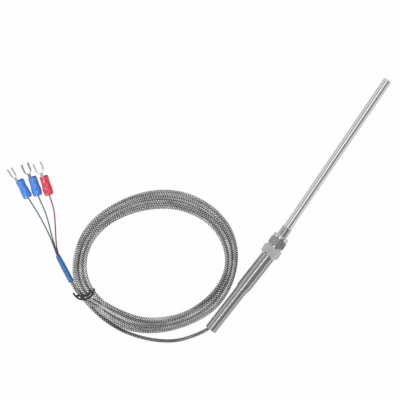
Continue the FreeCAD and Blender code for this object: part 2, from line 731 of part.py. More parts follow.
def core(name, plan):
    """One insulated core, from the cable's end to the inside of its terminal's barrel."""
    across, up = plan["seat"]
    seat = cable_end + heading(size("dim.shrink_turn") + 90) * across + Vector(0, 0, up)
    way = heading(plan["heading"])
    mouth = Vector(*plan["entry"], floor_z + size(GRIP_ENTRY_R))
    pivot = mouth + way * size("dim.fork_pivot")
    inside = heading(plan["heading"] + size("dim.fork_skew")) * size("dim.core_in_grip - dim.fork_pivot")
    points = [seat, seat + shrink_way * size("dim.core_in_shrink")]
    points += [Vector(x, y, floor_z + height) for x, y, height in plan["route"]]
    points += [mouth - way * size("dim.core_lead_in"), pivot, pivot + inside]
    cord(f"core_{name}", points, size(CORE_R))


def terminal_placement(plan, skew=0.0):
    """Where a terminal lies, turned aside about its pivot: the core enters at its origin along X."""
    way = heading(plan["heading"])
    aside = heading(plan["heading"] + skew)
    mouth = Vector(*plan["entry"], floor_z + size(GRIP_ENTRY_R))
    turn = Rotation(Vector(0, 0, 1), plan["heading"] + skew) * Rotation(Vector(1, 0, 0), plan["roll"])
    return Placement(mouth + (way - aside) * size("dim.fork_pivot"), turn)


def terminal_grip(name, plan):
    """The insulating sleeve: fat where the core enters, hollow round the fork, dented by the crimp."""
    body = new_body(f"terminal_grip_{name}")
    taper_end = "(dim.grip_entry_length + dim.grip_taper)"
    bore = f"{BARREL_R} + dim.barrel_room"
    mouth = f"{GRIP_FORK_R} - dim.grip_lip"
    mouth_start = "(dim.grip_length - dim.grip_mouth_depth)"
    revolve(body, (
        ("0", "dim.grip_funnel_od / 2"),
        ("0", f"{GRIP_ENTRY_R} - dim.grip_chamfer"),
        ("dim.grip_chamfer", GRIP_ENTRY_R),
        ("dim.grip_entry_length", GRIP_ENTRY_R),
        (taper_end, GRIP_FORK_R),
        ("dim.grip_length", GRIP_FORK_R),
        ("dim.grip_length", mouth),
        (mouth_start, mouth),
        (mouth_start, bore),
        ("dim.grip_funnel_depth", bore),
    ))
    sketch = new_sketch(body, "dents", "XZ_Plane")
    for side in ("", "-"):
        middle = f"{side}({GRIP_FORK_R} - dim.dent_depth + dim.dent_radius)"
        draw_circle(sketch, taper_end, middle, "dim.dent_radius")
    pocket(body, sketch, "dim.dent_width", both_ways=True)
    body.Placement = terminal_placement(plan)


def fork_terminal(name, plan):
    """The fork: a barrel crimped on the core and a flat tongue with two tines, a little askew."""
    body = new_body(f"fork_terminal_{name}")
    neck = "(dim.tongue_neck / 2)"
    root = "(dim.grip_length - dim.grip_mouth_depth + dim.tongue_setback)"
    barrel_end = f"({root} + dim.barrel_overlap)"
    section = new_sketch(body, "barrel", "YZ_Plane", "dim.barrel_start")
    draw_circle(section, "0", "0", BARREL_R)
    pad(body, section, f"{barrel_end} - dim.barrel_start")
    tip = "(dim.grip_length + dim.tongue_reach)"
    slot_foot = f"({tip} - dim.fork_slot_length)"
    flare_end = f"({slot_foot} + dim.fork_slot / 2)"
    flare_start = f"({flare_end} - dim.fork_flare)"
    tongue = new_sketch(body, "tongue", "XY_Plane", f"-{BARREL_R}")
    draw_outline(tongue, (
        (root, f"-{neck}"),
        (flare_start, f"-{neck}"),
        (flare_end, f"-{FORK_HALF}"),
        (tip, f"-{FORK_HALF}"),
        (tip, FORK_HALF),
        (flare_end, FORK_HALF),
        (flare_start, neck),
        (root, neck),
    ))
    pad(body, tongue, "dim.tongue_thickness")
    slot = new_sketch(body, "slot", "XY_Plane", f"dim.tongue_thickness - {BARREL_R}")
    draw_outline(slot, (
        (flare_end, "-dim.fork_slot / 2"),
        (f"{tip} + dim.fork_tine", "-dim.fork_slot / 2"),
        (f"{tip} + dim.fork_tine", "dim.fork_slot / 2"),
        (flare_end, "dim.fork_slot / 2"),
    ))
    pocket(body, slot, "dim.tongue_thickness")
    foot = new_sketch(body, "slot_foot", "XY_Plane", f"dim.tongue_thickness - {BARREL_R}")
    draw_circle(foot, flare_end, "0", "dim.fork_slot / 2")
    pocket(body, foot, "dim.tongue_thickness")
    fillet(body, "dim.fork_round", lambda e: stands_at(e, size(tip)))
    fillet(body, "dim.fork_shoulder", lambda e: stands_at(e, size(flare_end), size(FORK_HALF)))
    bore = new_sketch(body, "bore", "YZ_Plane", barrel_end)
    draw_circle(bore, "0", "0", f"{CORE_R} + dim.core_play")
    pocket(body, bore, f"{barrel_end} - dim.barrel_start")
    body.Placement = terminal_placement(plan, size("dim.fork_skew"))


for name, plan in TERMINALS.items():
    core(name, plan)
    terminal_grip(name, plan)
    fork_terminal(name, plan)

doc.recompute()
for part in doc.Objects:
    if "Invalid" in part.State or "Error" in part.State:
        raise RuntimeError(f"{part.Label} failed: {part.State}")
for label, part in nodes.items():
    if part.Shape.isNull() or not part.Shape.isValid() or len(part.Shape.Solids) != 1:
        raise RuntimeError(f"{label} is not one valid solid")

os.makedirs("parts", exist_ok=True)
for label, part in nodes.items():
    part.Shape.exportStep(f"parts/{label}.step")
print(f"{len(nodes)} nodes written")
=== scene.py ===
# %% [markdown]
# # A screw-in temperature probe
#
# The object is a slim steel sheath with a small compression fitting, a stepped spring that keeps the
# lead from kinking, and a braided steel lead in a tied oval coil. The lead ends in a blue shrunk tube,
# three thin cores and three crimped fork terminals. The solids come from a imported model, and this
# notebook dresses them: it winds the spring and the coil, cuts the thread, and gives every surface
# its finish. Blender works in metres, so the object's sizes are written as millimetres times MM, and the
# large sizes of the room, such as the camera's height, in metres. Tables of points, such as routes and
# profiles, and the few values that go into them are in plain millimetres.

import math

import bmesh
import bpy
from mathutils import Matrix, Vector


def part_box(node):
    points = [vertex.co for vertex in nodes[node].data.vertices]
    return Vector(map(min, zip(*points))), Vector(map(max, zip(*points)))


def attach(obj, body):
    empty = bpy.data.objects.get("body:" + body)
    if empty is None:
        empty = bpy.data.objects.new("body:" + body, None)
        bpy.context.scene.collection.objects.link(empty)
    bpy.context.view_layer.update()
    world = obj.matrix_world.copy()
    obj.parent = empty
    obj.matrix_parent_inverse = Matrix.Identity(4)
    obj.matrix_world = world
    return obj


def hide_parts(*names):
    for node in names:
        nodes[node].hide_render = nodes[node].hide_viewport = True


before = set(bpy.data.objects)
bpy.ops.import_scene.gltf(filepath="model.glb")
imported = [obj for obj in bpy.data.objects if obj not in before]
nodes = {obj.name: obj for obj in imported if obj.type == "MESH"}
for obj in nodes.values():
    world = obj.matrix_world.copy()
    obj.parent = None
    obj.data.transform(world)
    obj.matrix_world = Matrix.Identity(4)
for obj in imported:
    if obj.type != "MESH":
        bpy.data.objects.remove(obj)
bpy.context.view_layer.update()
scene = bpy.context.scene
MM = 0.001
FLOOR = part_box("threaded_fitting")[0].z
print(f"{len(nodes)} solids, floor at {FLOOR / MM:.2f} mm")

# %% [markdown]
# ## The camera
#
# The picture is taken from straight above with a long lens, so nothing leans and the scale is the same
# all over. A camera looks along its own -Z with +Y up in the picture, so its three axes are written
# down as the columns of a matrix. The lens length follows from the height and the width of the view.

# %% Camera
VIEW_CENTRE = Vector((-11.6, 62.8, 0.0)) * MM
VIEW_WIDTH = 286.0 * MM
VIEW_UP = Vector((0.8270, 0.5623, 0.0)).normalized()
CAMERA_HEIGHT = 1.2

camera = bpy.data.objects.new("camera", bpy.data.cameras.new("camera"))
scene.collection.objects.link(camera)
camera.data.lens = camera.data.sensor_width * CAMERA_HEIGHT / VIEW_WIDTH
backwards = Vector((0, 0, 1))
turn = Matrix((VIEW_UP.cross(backwards), VIEW_UP, backwards)).transposed()
camera.matrix_world = Matrix.Translation(VIEW_CENTRE + backwards * CAMERA_HEIGHT) @ turn.to_4x4()
scene.camera = camera
scene.view_settings.view_transform = "Standard"
print(f"lens {camera.data.lens:.0f} mm")

# %% [markdown]
# ## Finishes
#
# Every finish is a Principled shader. What is the same all over a surface is set on the shader's own
# sockets, and only what changes over the surface is wired in. `finish` makes the shader with its plain
# values, and `add` puts one more node beside it.

# %% Shaders and nodes


def finish(name, colour, metallic=0.0, roughness=0.5, **sockets):
    """A material with one Principled shader; other sockets are given by name."""
    material = bpy.data.materials.new(name)
    material.use_nodes = True
    shader = material.node_tree.nodes["Principled BSDF"]
    shader.inputs["Base Color"].default_value = (*colour, 1.0)
    shader.inputs["Metallic"].default_value = metallic
    shader.inputs["Roughness"].default_value = roughness
    for socket, value in sockets.items():
        shader.inputs[socket.replace("_", " ")].default_value = value
    return material, material.node_tree, shader


def add(tree, kind, inputs=None, **settings):
    """A node with its properties and, by name, the values of its inputs."""
    node = tree.nodes.new(kind)
    for key, value in settings.items():
        setattr(node, key, value)
    for socket, value in (inputs or {}).items():
        node.inputs[socket].default_value = value
    return node


# %% [markdown]
# A value that changes over a surface is worked out by nodes. `calculate` does one sum, `ramp` turns a
# value into a shade, `vary_roughness` makes a gloss uneven, and `bump` turns a height into a normal. A
# bump has the depth that a height of 1 stands for, and a strength that says how much of it is seen.

# %% Values on a surface


def calculate(tree, operation, *values):
    """A Math node on numbers or sockets; returns its result."""
    node = add(tree, "ShaderNodeMath", operation=operation)
    for place, value in enumerate(values):
        if isinstance(value, (int, float)):
            node.inputs[place].default_value = value
        else:
            tree.links.new(value, node.inputs[place])
    return node.outputs[0]


def ramp(tree, value, *stops):
    """A colour ramp through stops of a place and a grey or a colour; returns its colour."""
    node = add(tree, "ShaderNodeValToRGB")
    elements = node.color_ramp.elements
    while len(elements) < len(stops):
        elements.new(0.5)
    for element, (place, shade) in zip(elements, stops):
        element.position = place
        element.color = (shade, shade, shade, 1.0) if isinstance(shade, float) else (*shade, 1.0)
    tree.links.new(value, node.inputs[0])
    return node.outputs[0]


def vary_roughness(tree, shader, effect, change, least):
    """Roughness that is at its least where an effect is 0 and has changed in full where it is 1."""
    tree.links.new(calculate(tree, "MULTIPLY_ADD", effect, change, least), shader.inputs["Roughness"])


def bump(tree, shader, height, depth, strength):
    """Wires a height into the shader's normal."""
    node = add(tree, "ShaderNodeBump", {"Strength": strength, "Distance": depth})
    tree.links.new(height, node.inputs["Height"])
    tree.links.new(node.outputs[0], shader.inputs["Normal"])


# %% [markdown]
# An effect that several finishes share is a node group. It is built once, its sockets have names, and
# each finish places it with values of its own. Most effects are laid out in the object's own frame, so
# they stay on the surface when the object moves.

# %% Node groups


def new_group(name, inputs, outputs):
    """An empty node group with named sockets, its input node and its output node."""
    group = bpy.data.node_groups.new(name, "ShaderNodeTree")
    for label, kind, value in inputs:
        socket = group.interface.new_socket(label, in_out="INPUT", socket_type=kind)
        if value is not None:
            socket.default_value = value
    for label in outputs:
        group.interface.new_socket(label, in_out="OUTPUT", socket_type="NodeSocketFloat")
    return group, group.nodes.new("NodeGroupInput"), group.nodes.new("NodeGroupOutput")


def place_group(tree, group, vector, **values):
    """Puts a group in a material, with its vector wired and its numbers set; returns its outputs."""
    node = add(tree, "ShaderNodeGroup", node_tree=group)
    tree.links.new(vector, node.inputs["Vector"])
    for label, value in values.items():
        node.inputs[label].default_value = value
    return node.outputs


def object_coordinates(tree):
    """The surface point in the object's own frame, in metres."""
    return add(tree, "ShaderNodeTexCoord").outputs["Object"]


# %% [markdown]
# Two effects come back in several finishes. `stretched_lines` is noise pulled out along one axis: the
# faint lines that drawing, grinding or turning leave on metal. `patches` is soft cloudy noise, which
# keeps a large surface from looking the same all over.

# %% Stretched lines
lines_group, lines_in, lines_out = new_group(
    "stretched_lines",
    [("Vector", "NodeSocketVector", None), ("Stretch", "NodeSocketVector", (1.0, 1.0, 1.0))],
    ["Lines"],
)
squeeze = add(lines_group, "ShaderNodeVectorMath", operation="MULTIPLY")
lines_group.links.new(lines_in.outputs["Vector"], squeeze.inputs[0])
lines_group.links.new(lines_in.outputs["Stretch"], squeeze.inputs[1])
streaks = add(lines_group, "ShaderNodeTexNoise", {"Scale": 1.0, "Detail": 4.0, "Roughness": 0.65})
lines_group.links.new(squeeze.outputs[0], streaks.inputs["Vector"])
lines_group.links.new(streaks.outputs[0], lines_out.inputs["Lines"])


def lines_on(tree, stretch):
    """Stretched lines on a finish; stretch is how many go into a metre along X, Y and Z."""
    return place_group(tree, lines_group, object_coordinates(tree), Stretch=stretch)["Lines"]


print(f"group {lines_group.name}: {len(lines_group.nodes)} nodes")

# %% Patches
patches_group, patches_in, patches_out = new_group(
    "patches",
    [("Vector", "NodeSocketVector", None), ("Scale", "NodeSocketFloat", 200.0)],
    ["Patches"],
)
clouds = add(patches_group, "ShaderNodeTexNoise", {"Detail": 3.0, "Roughness": 0.55})
patches_group.links.new(patches_in.outputs["Vector"], clouds.inputs["Vector"])
patches_group.links.new(patches_in.outputs["Scale"], clouds.inputs["Scale"])
patches_group.links.new(clouds.outputs[0], patches_out.inputs["Patches"])


def patches_on(tree, scale):
    """Cloudy patches on a finish; scale is how many go into a metre."""
    return place_group(tree, patches_group, object_coordinates(tree), Scale=scale)["Patches"]


print(f"group {patches_group.name}: {len(patches_group.nodes)} nodes")

# %% [markdown]
# ## The floor
#
# The object lies on a white sweep, which is one large square here. To the camera it is nearly pure
# white: a little of its own grey is mixed in, so a faint shadow stays under the pieces. Metal sees
# mostly that grey with a little of the white. The Light Path node tells which ray is asking, so the
# white needs no stronger light on the object.

# %% Floor
FLOOR_SIZE = 6.0
FLOOR_GAP = 0.05 * MM

floor_mesh = bpy.data.meshes.new("floor")
bm = bmesh.new()
bmesh.ops.create_grid(bm, x_segments=1, y_segments=1, size=FLOOR_SIZE / 2)
bmesh.ops.translate(bm, verts=bm.verts, vec=(0, 0, FLOOR - FLOOR_GAP))
bm.to_mesh(floor_mesh)
bm.free()
floor_object = bpy.data.objects.new("floor", floor_mesh)
scene.collection.objects.link(floor_object)
print(f"floor of {FLOOR_SIZE:.0f} m")

# %% Floor finish
WHITE = (1.0, 1.0, 1.0, 1.0)
FLOOR_GREY = (0.5, 0.5, 0.5, 1.0)
WHITE_TO_CAMERA = 0.97
WHITE_TO_METAL = 0.15

floor_white = bpy.data.materials.new("white_floor")
floor_white.use_nodes = True
tree = floor_white.node_tree
tree.nodes.clear()
matt = add(tree, "ShaderNodeBsdfDiffuse", {"Color": FLOOR_GREY})
glow = add(tree, "ShaderNodeEmission", {"Color": WHITE, "Strength": 1.0})
rays = add(tree, "ShaderNodeLightPath")
straight = calculate(tree, "MAXIMUM", rays.outputs["Is Camera Ray"], rays.outputs["Is Transmission Ray"])
to_camera = calculate(tree, "MULTIPLY", straight, WHITE_TO_CAMERA)
to_metal = calculate(tree, "MULTIPLY", rays.outputs["Is Glossy Ray"], WHITE_TO_METAL)
mix = add(tree, "ShaderNodeMixShader")
tree.links.new(calculate(tree, "MAXIMUM", to_camera, to_metal), mix.inputs[0])
tree.links.new(matt.outputs[0], mix.inputs[1])
tree.links.new(glow.outputs[0], mix.inputs[2])
output = add(tree, "ShaderNodeOutputMaterial")
tree.links.new(mix.outputs[0], output.inputs["Surface"])
floor_mesh.materials.append(floor_white)
print(f"{floor_white.name} is {WHITE_TO_CAMERA:.0%} white to the camera")

# %% [markdown]
# ## The tent
#
# The light is a large soft tent round the probe, a ramp of greys that runs from the side away from the
# coil, over the top, to the coil's side. Three narrow bright gaps in it run along the probe, and they
# draw the thin white lines on the sheath and on the spring. Strips of lamps could draw them too, but a
# ramp is easier to trim. The camera sees plain white instead.

# %% Tent
TENT = (
    (0.000, 0.50), (0.025, 0.60), (0.035, 1.50), (0.088, 1.50), (0.110, 0.36), (0.150, 0.17), (0.185, 0.26),
    (0.244, 0.29), (0.311, 0.30), (0.360, 0.32), (0.398, 0.38), (0.440, 0.46), (0.480, 0.50), (0.517, 0.55),
    (0.527, 1.65), (0.605, 1.65), (0.617, 0.60), (0.632, 0.22), (0.680, 0.22), (0.720, 0.46), (0.780, 0.72),
    (0.797, 0.28), (0.838, 0.28), (0.855, 1.10), (0.930, 1.10), (0.960, 0.60), (1.000, 0.48),
)
STRAIGHT_UP = 0.5

world = bpy.data.worlds.new("studio")
scene.world = world
world.use_nodes = True
tree = world.node_tree
tree.nodes.clear()
axes = add(tree, "ShaderNodeSeparateXYZ")
tree.links.new(add(tree, "ShaderNodeTexCoord").outputs["Generated"], axes.inputs[0])
round_probe = calculate(tree, "ARCTAN2", axes.outputs["Y"], axes.outputs["Z"])
share = calculate(tree, "MULTIPLY_ADD", round_probe, 1.0 / math.pi, STRAIGHT_UP)
rays = add(tree, "ShaderNodeLightPath")
seen = add(tree, "ShaderNodeMix", {"B": WHITE}, data_type="RGBA")
tree.links.new(rays.outputs["Is Camera Ray"], seen.inputs["Factor"])
tree.links.new(ramp(tree, share, *TENT), seen.inputs["A"])
background = add(tree, "ShaderNodeBackground", {"Strength": 1.0})
tree.links.new(seen.outputs["Result"], background.inputs["Color"])
output = add(tree, "ShaderNodeOutputWorld")
tree.links.new(background.outputs[0], output.inputs["Surface"])
print(f"tent with {len(TENT)} greys")

# %% [markdown]
# ## The lamps
#
# The tent alone leaves the plastics and the braid flat. A soft lamp at the lower left of the picture
# lights them, and it is hidden from reflections, because it would be a square patch on the metal. A
# smaller lamp stands farther out on the same side. It shows in reflections only, as a glint on gloss.

# %% Lamps
LAMPS_FACE = Vector((-0.05, 0.06, 0.0))


def add_lamp(name, place, size, watts):
    """A square area lamp that faces the object."""
    lamp = bpy.data.objects.new(name, bpy.data.lights.new(name, "AREA"))
    lamp.data.size = size
    lamp.data.energy = watts
    lamp.location = place
    lamp.rotation_euler = (LAMPS_FACE - lamp.location).to_track_quat("-Z", "Y").to_euler()
    scene.collection.objects.link(lamp)
    return lamp


soft_lamp = add_lamp("soft_lamp", place=(-0.45, 0.18, 1.00), size=0.5, watts=7.2)
soft_lamp.visible_glossy = False
glint_lamp = add_lamp("glint_lamp", place=(-0.90, 0.30, 1.00), size=0.22, watts=1.5)
glint_lamp.visible_diffuse = False
print(f"lamps of {soft_lamp.data.energy:.1f} W and {glint_lamp.data.energy:.1f} W")

# %% [markdown]
# ## Routes
#
# A lead lies in one smooth line, so its route is a NURBS curve, which control points pull into shape.
# They are listed one by one for the bend out of the spring, the loose stretch and the tail, and worked out
# for the turns of the coil. `smooth_line` reads the finished curve back as points, and `evenly` spaces
# them, because a weave needs even rows.

# %% Smooth lines


def smooth_line(points):
    """The points of a NURBS curve that is drawn by these control points, in metres."""
    curve = bpy.data.curves.new("route", "CURVE")
    curve.dimensions = "3D"
    curve.resolution_u = 16
    spline = curve.splines.new("NURBS")
    spline.points.add(len(points) - 1)
    for point, place in zip(spline.points, points):
        point.co = (*place, 1.0)
    spline.order_u = 3
    spline.use_endpoint_u = True
    drawing = bpy.data.objects.new("route", curve)
    scene.collection.objects.link(drawing)
    mesh = bpy.data.meshes.new_from_object(drawing)
    line = [vertex.co.copy() for vertex in mesh.vertices]
    bpy.data.objects.remove(drawing)
    bpy.data.curves.remove(curve)
    bpy.data.meshes.remove(mesh)
    return line


# %% Even spacing


def length_of(line):
    """The length of a line of points."""
    return sum((b - a).length for a, b in zip(line, line[1:]))


def evenly(line, step):
    """The same line with its points about a step apart."""
    count = max(2, round(length_of(line) / step))
    spacing = length_of(line) / count
    spaced = [line[0]]
    left = spacing
    for a, b in zip(line, line[1:]):
        stretch = (b - a).length
        walked = 0.0
        while stretch - walked >= left and len(spaced) < count:
            walked += left
            spaced.append(a.lerp(b, walked / stretch))
            left = spacing
        left -= stretch - walked
    spaced.append(line[-1])
    return spaced


# %% [markdown]
# A tube round such a line starts as a flat grid, one row for each point of the line and one column for
# each side. The grid's rows and columns become the UV map, which is what a weave needs, and then every
# vertex is carried to its place round the line. A relief can lift and sink every other vertex, so that
# a braid has real knuckles.

# %% Closed ends


def close_openings(bm):
    """Fills the open ends of a shape and points its faces outwards."""
    bmesh.ops.holes_fill(bm, edges=[edge for edge in bm.edges if edge.is_boundary], sides=0)
    bmesh.ops.recalc_face_normals(bm, faces=bm.faces)


# %% Tubes
WEAVE_STEP = 4
SAME_PLACE = 1e-7


def tube(line, radius, sides, relief=0.0):
    """A closed tube round a line; its UV map counts rows and sides by the step of the weave."""
    bm = bmesh.new()
    rows = len(line) - 1
    bmesh.ops.create_grid(bm, x_segments=rows, y_segments=sides, size=0.5)
    weave = bm.loops.layers.uv.new("weave")
    for face in bm.faces:
        for loop in face.loops:
            row_share = loop.vert.co.x + 0.5
            side_share = loop.vert.co.y + 0.5
            loop[weave].uv = (row_share * rows / WEAVE_STEP, side_share * sides / WEAVE_STEP)
    right = (line[1] - line[0]).orthogonal().normalized()
    circles = []
    for row, point in enumerate(line):
        along = (line[min(row + 1, rows)] - line[max(row - 1, 0)]).normalized()
        right = (right - along * right.dot(along)).normalized()
        circles.append((point, right, along.cross(right)))
    for vertex in bm.verts:
        row = round((vertex.co.x + 0.5) * rows)
        side = round((vertex.co.y + 0.5) * sides)
        middle, right, up = circles[row]
        angle = math.tau * side / sides
        knuckle = math.cos(math.tau * row / WEAVE_STEP) * math.cos(math.tau * side / WEAVE_STEP)
        outwards = right * math.cos(angle) + up * math.sin(angle)
        vertex.co = middle + outwards * (radius + relief * knuckle)
    bmesh.ops.remove_doubles(bm, verts=bm.verts, dist=SAME_PLACE)
    close_openings(bm)
    return bm


# %% [markdown]
# Every shape becomes a piece of the object in the same way: the mesh gets its finish, it is hung on an
# empty for the body it rides on, and the solids that it stands for are hidden.

# %% Pieces


def new_piece(name, bm, material, body="probe", replaces=(), smooth=True):
    """Makes a finished bmesh an object that rides on a body and may stand for solids."""
    mesh = bpy.data.meshes.new(name)
    bm.to_mesh(mesh)
    bm.free()
    mesh.materials.append(material)
    mesh.polygons.foreach_set("use_smooth", [smooth] * len(mesh.polygons))
    piece = bpy.data.objects.new(name, mesh)
    scene.collection.objects.link(piece)
    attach(piece, body)
    if replaces:
        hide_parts(*replaces)
    triangles = sum(len(face.vertices) - 2 for face in mesh.polygons)
    print(f"{name}: {triangles} triangles")
    return piece


# %% [markdown]
# ## The coil
#
# Six turns lie in two layers. The bundle isn't round: its inner and outer edge are given as measured
# distances from its middle in millimetres, every fifteen degrees from the tie. Each turn keeps a lane
# of its own between the two edges and changes to the next lane just before the tie: three lanes
# inwards on the floor, then three lanes outwards on top of them, each half a lane further in than the
# turn under it. A turn wanders a little in its lane. At the tie the bundle is lifted by a little more
# than the tie's thickness. A simulation could drop a lead in a heap, but lanes keep the outline of a
# bundle wound by hand.

# %% Measures of the coil
CABLE_R = 1.2 * MM
TURNS = 6
TIE_ANGLE = math.radians(147.6)
COIL_MIDDLE = Vector((-66.3, 63.8, 0.0)) * MM
COIL_EDGES = (
    (49.0, 60.4), (50.6, 61.2), (49.7, 59.5), (47.0, 57.7), (43.8, 55.0), (40.6, 52.2),
    (38.7, 51.1), (38.1, 51.4), (38.6, 52.6), (40.5, 54.3), (42.8, 56.1), (46.1, 58.3),
    (48.6, 60.1), (50.2, 60.0), (49.8, 58.6), (47.1, 57.1), (44.2, 55.4), (41.9, 52.8),
    (40.6, 50.9), (39.7, 50.7), (40.2, 51.7), (41.2, 53.3), (42.5, 54.2), (45.4, 55.6),
)
LANES = (0.0, 1.0, 2.0, 2.5, 1.5, 0.5)
LAYERS = (0, 0, 0, 1, 1, 1)
LANE_CHANGE = 0.06
WANDER = 0.06
WANDER_WAVES = 2
WANDER_SHIFT = 2.1
LEAST_STEP_UP = 1.3 * MM
TIE_LIFT = 1.5 * MM
print(f"{TURNS} turns of a lead {2 * CABLE_R / MM:.1f} mm thick")

# %% Points of the coil


def ease(value):
    """A smooth step from 0 to 1."""
    value = min(1.0, max(0.0, value))
    return value * value * (3.0 - 2.0 * value)


def coil_point(step):
    """Where the lead is after so many fifteen-degree steps from the tie."""
    turn, place = divmod(step, len(COIL_EDGES))
    share = place / len(COIL_EDGES)
    following = min(turn + 1, TURNS - 1)
    change = ease((share - 1.0 + LANE_CHANGE) / LANE_CHANGE)
    lane = LANES[turn] + (LANES[following] - LANES[turn]) * change
    layer = LAYERS[turn] + (LAYERS[following] - LAYERS[turn]) * change
    inner, outer = (edge * MM for edge in COIL_EDGES[place])
    pitch = (outer - inner - 2 * CABLE_R) / max(LANES)
    away_from_tie = math.sin(math.pi * share) ** 2
    wave = math.sin(math.tau * share * WANDER_WAVES + WANDER_SHIFT * turn)
    wander = WANDER * wave * away_from_tie
    radius = outer - CABLE_R - (lane + wander) * pitch
    angle = TIE_ANGLE - math.tau * share
    step_up = math.sqrt(max(LEAST_STEP_UP ** 2, (2 * CABLE_R) ** 2 - (pitch / 2) ** 2))
    height = CABLE_R + layer * step_up + (TIE_LIFT if place == 0 else 0.0)
    return COIL_MIDDLE + Vector((radius * math.cos(angle), radius * math.sin(angle), FLOOR + height))


coil = [coil_point(step) for step in range(TURNS * len(COIL_EDGES))]
print(f"{len(coil)} points in the coil")

# %% [markdown]
# ## The lead's route
#
# The lead leaves the spring a little to one side, comes down to the floor and runs along the outside of
# the coil to the tie. After the last turn it lies on top of the bundle, goes through the tie and on
# into the shrunk tube. It is one piece: the loose stretch, the coil and the tail are control points of
# one curve. The points of routes are written down in millimetres. In the loose stretch the third number
# is how far the lead has come down to the floor, from 0 to 1, and in all other routes it is the height
# over the floor.

# %% Loose stretch
SPRING_LEAN = 3.9
SPRING_END = Vector((-84.044, 4.571, 0.0)) * MM
INSIDE_SPRING = 13.0 * MM
LYING = FLOOR + CABLE_R
LOOSE_RUN = (
    (-78.4, 4.28, 0.0),
    (-85.7, 6.7, 0.05),
    (-92.0, 10.2, 0.24),
    (-98.7, 14.9, 0.5),
    (-105.0, 20.4, 0.76),
    (-110.4, 28.0, 0.94),
    (-115.1, 37.1, 1.0),
    (-118.9, 47.9, 1.0),
    (-121.2, 60.3, 1.0),
    (-121.2, 73.3, 1.0),
    (-119.2, 85.0, 1.0),
)


def pointing(degrees):
    """A level direction, as a vector of length 1."""
    angle = math.radians(degrees)
    return Vector((math.cos(angle), math.sin(angle), 0.0))


SPRING_HEADING = 180.0 - SPRING_LEAN
SPRING_WAY = pointing(SPRING_HEADING)
loose = [SPRING_END - SPRING_WAY * INSIDE_SPRING]
loose += [Vector((x * MM, y * MM, LYING * fallen)) for x, y, fallen in LOOSE_RUN]
print(f"{len(loose)} points in the loose stretch")

# %% Tail and whole lead
SHRINK_RADIUS = 1.95
SHRINK_HEADING = 62.0
SHRINK_WAY = pointing(SHRINK_HEADING)
TAIL = ((-117.7, 90.8, 4.4), (-116.0, 96.0, 4.3), (-114.7, 100.6, 2.8))
TAIL_IN_TUBE = (-1.5, 5.0, 15.0)
ROW = 0.42 * MM


def on_floor(x, y, height):
    """A place over the floor, from millimetres."""
    return Vector((x * MM, y * MM, FLOOR + height * MM))


SHRINK_START = on_floor(-112.05, 106.0, SHRINK_RADIUS)
tail = [on_floor(*point) for point in TAIL]
tail += [SHRINK_START + SHRINK_WAY * distance * MM for distance in TAIL_IN_TUBE]
LEAD_END = tail[-1]
lead_line = evenly(smooth_line(loose + coil + tail), ROW)

# %% [markdown]
# ## The braid
#
# The braid is woven from bundles of thin steel wire that cross at a steep angle. In the UV map a bundle
# runs along U+V or along U-V, and which of the two is on top changes from one diamond to the next. A
# group works out how far a point is from the middle of its diamond, and its height: each diamond is a
# dome, with the single wires of the upper bundle as fine ridges on it. A picture of a weave could be
# wrapped round the lead, but sums on the UV map stay sharp from any distance.

# %% Sums in the braid
braid_group, braid_in, braid_out = new_group(
    "braid",
    [("Vector", "NodeSocketVector", None), ("Wires", "NodeSocketFloat", 4.0)],
    ["Height", "Depth"],
)


def weave_sum(operation, *values):
    """One sum inside the braid's group."""
    return calculate(braid_group, operation, *values)


def from_middle(value):
    """How far a coordinate is from the middle of its diamond, from 0 to 1."""
    share = weave_sum("FRACT", weave_sum("ADD", value, 0.5))
    return weave_sum("MULTIPLY", weave_sum("ABSOLUTE", weave_sum("SUBTRACT", share, 0.5)), 2.0)


def wire_ridges(value):
    """The ridges of the single wires in a bundle, from 0 to 1."""
    phase = weave_sum("MULTIPLY", value, braid_in.outputs["Wires"])
    return weave_sum("ABSOLUTE", weave_sum("SINE", weave_sum("MULTIPLY", phase, math.pi)))


# %% Braid pattern
DOME_POWER = 3.0
WIRE_RIDGE = 0.25

axes = add(braid_group, "ShaderNodeSeparateXYZ")
braid_group.links.new(braid_in.outputs["Vector"], axes.inputs[0])
left_hand = weave_sum("ADD", axes.outputs["X"], axes.outputs["Y"])
right_hand = weave_sum("SUBTRACT", axes.outputs["X"], axes.outputs["Y"])
diamond_edge = weave_sum("MAXIMUM", from_middle(left_hand), from_middle(right_hand))
diamond = weave_sum("ADD", weave_sum("ROUND", left_hand), weave_sum("ROUND", right_hand))
upper_wires = add(braid_group, "ShaderNodeMix", data_type="FLOAT")
braid_group.links.new(weave_sum("PINGPONG", diamond, 1.0), upper_wires.inputs["Factor"])
braid_group.links.new(wire_ridges(left_hand), upper_wires.inputs["A"])
braid_group.links.new(wire_ridges(right_hand), upper_wires.inputs["B"])
dome = weave_sum("SUBTRACT", 1.0, weave_sum("POWER", diamond_edge, DOME_POWER))
height = weave_sum("ADD", dome, weave_sum("MULTIPLY", upper_wires.outputs["Result"], WIRE_RIDGE))
braid_group.links.new(height, braid_out.inputs["Height"])
braid_group.links.new(diamond_edge, braid_out.inputs["Depth"])
print(f"group {braid_group.name}: {len(braid_group.nodes)} nodes")

# %% [markdown]
# Each diamond is painted light along its middle and dark at its edge, where the bundles dive under each
# other:
# painted light on the domes and painted shade between them.
# The loose stretch next to the probe is made a little darker, which fades out over its last fifth. Slow
# noise along the lead makes some stretches of it lighter than their neighbours. All of this is added up to
# one shade, from light to dark, and a ramp gives it its grey.

# %% Braid finish
PAINTED_EDGE_SHADE = 0.70
SPOT_SHARE = 0.40
LOOSE_DARKER_SHARE = 0.16
STRETCH_SHARE = 0.9
STRETCHES = (0.03, 0.0, 0.0)
LOOSE_DARKER_LENGTH = 110.0 * MM
LOOSE_DARKER_END = LOOSE_DARKER_LENGTH / ROW / WEAVE_STEP
LOOSE_DARKER_FULL = 0.8

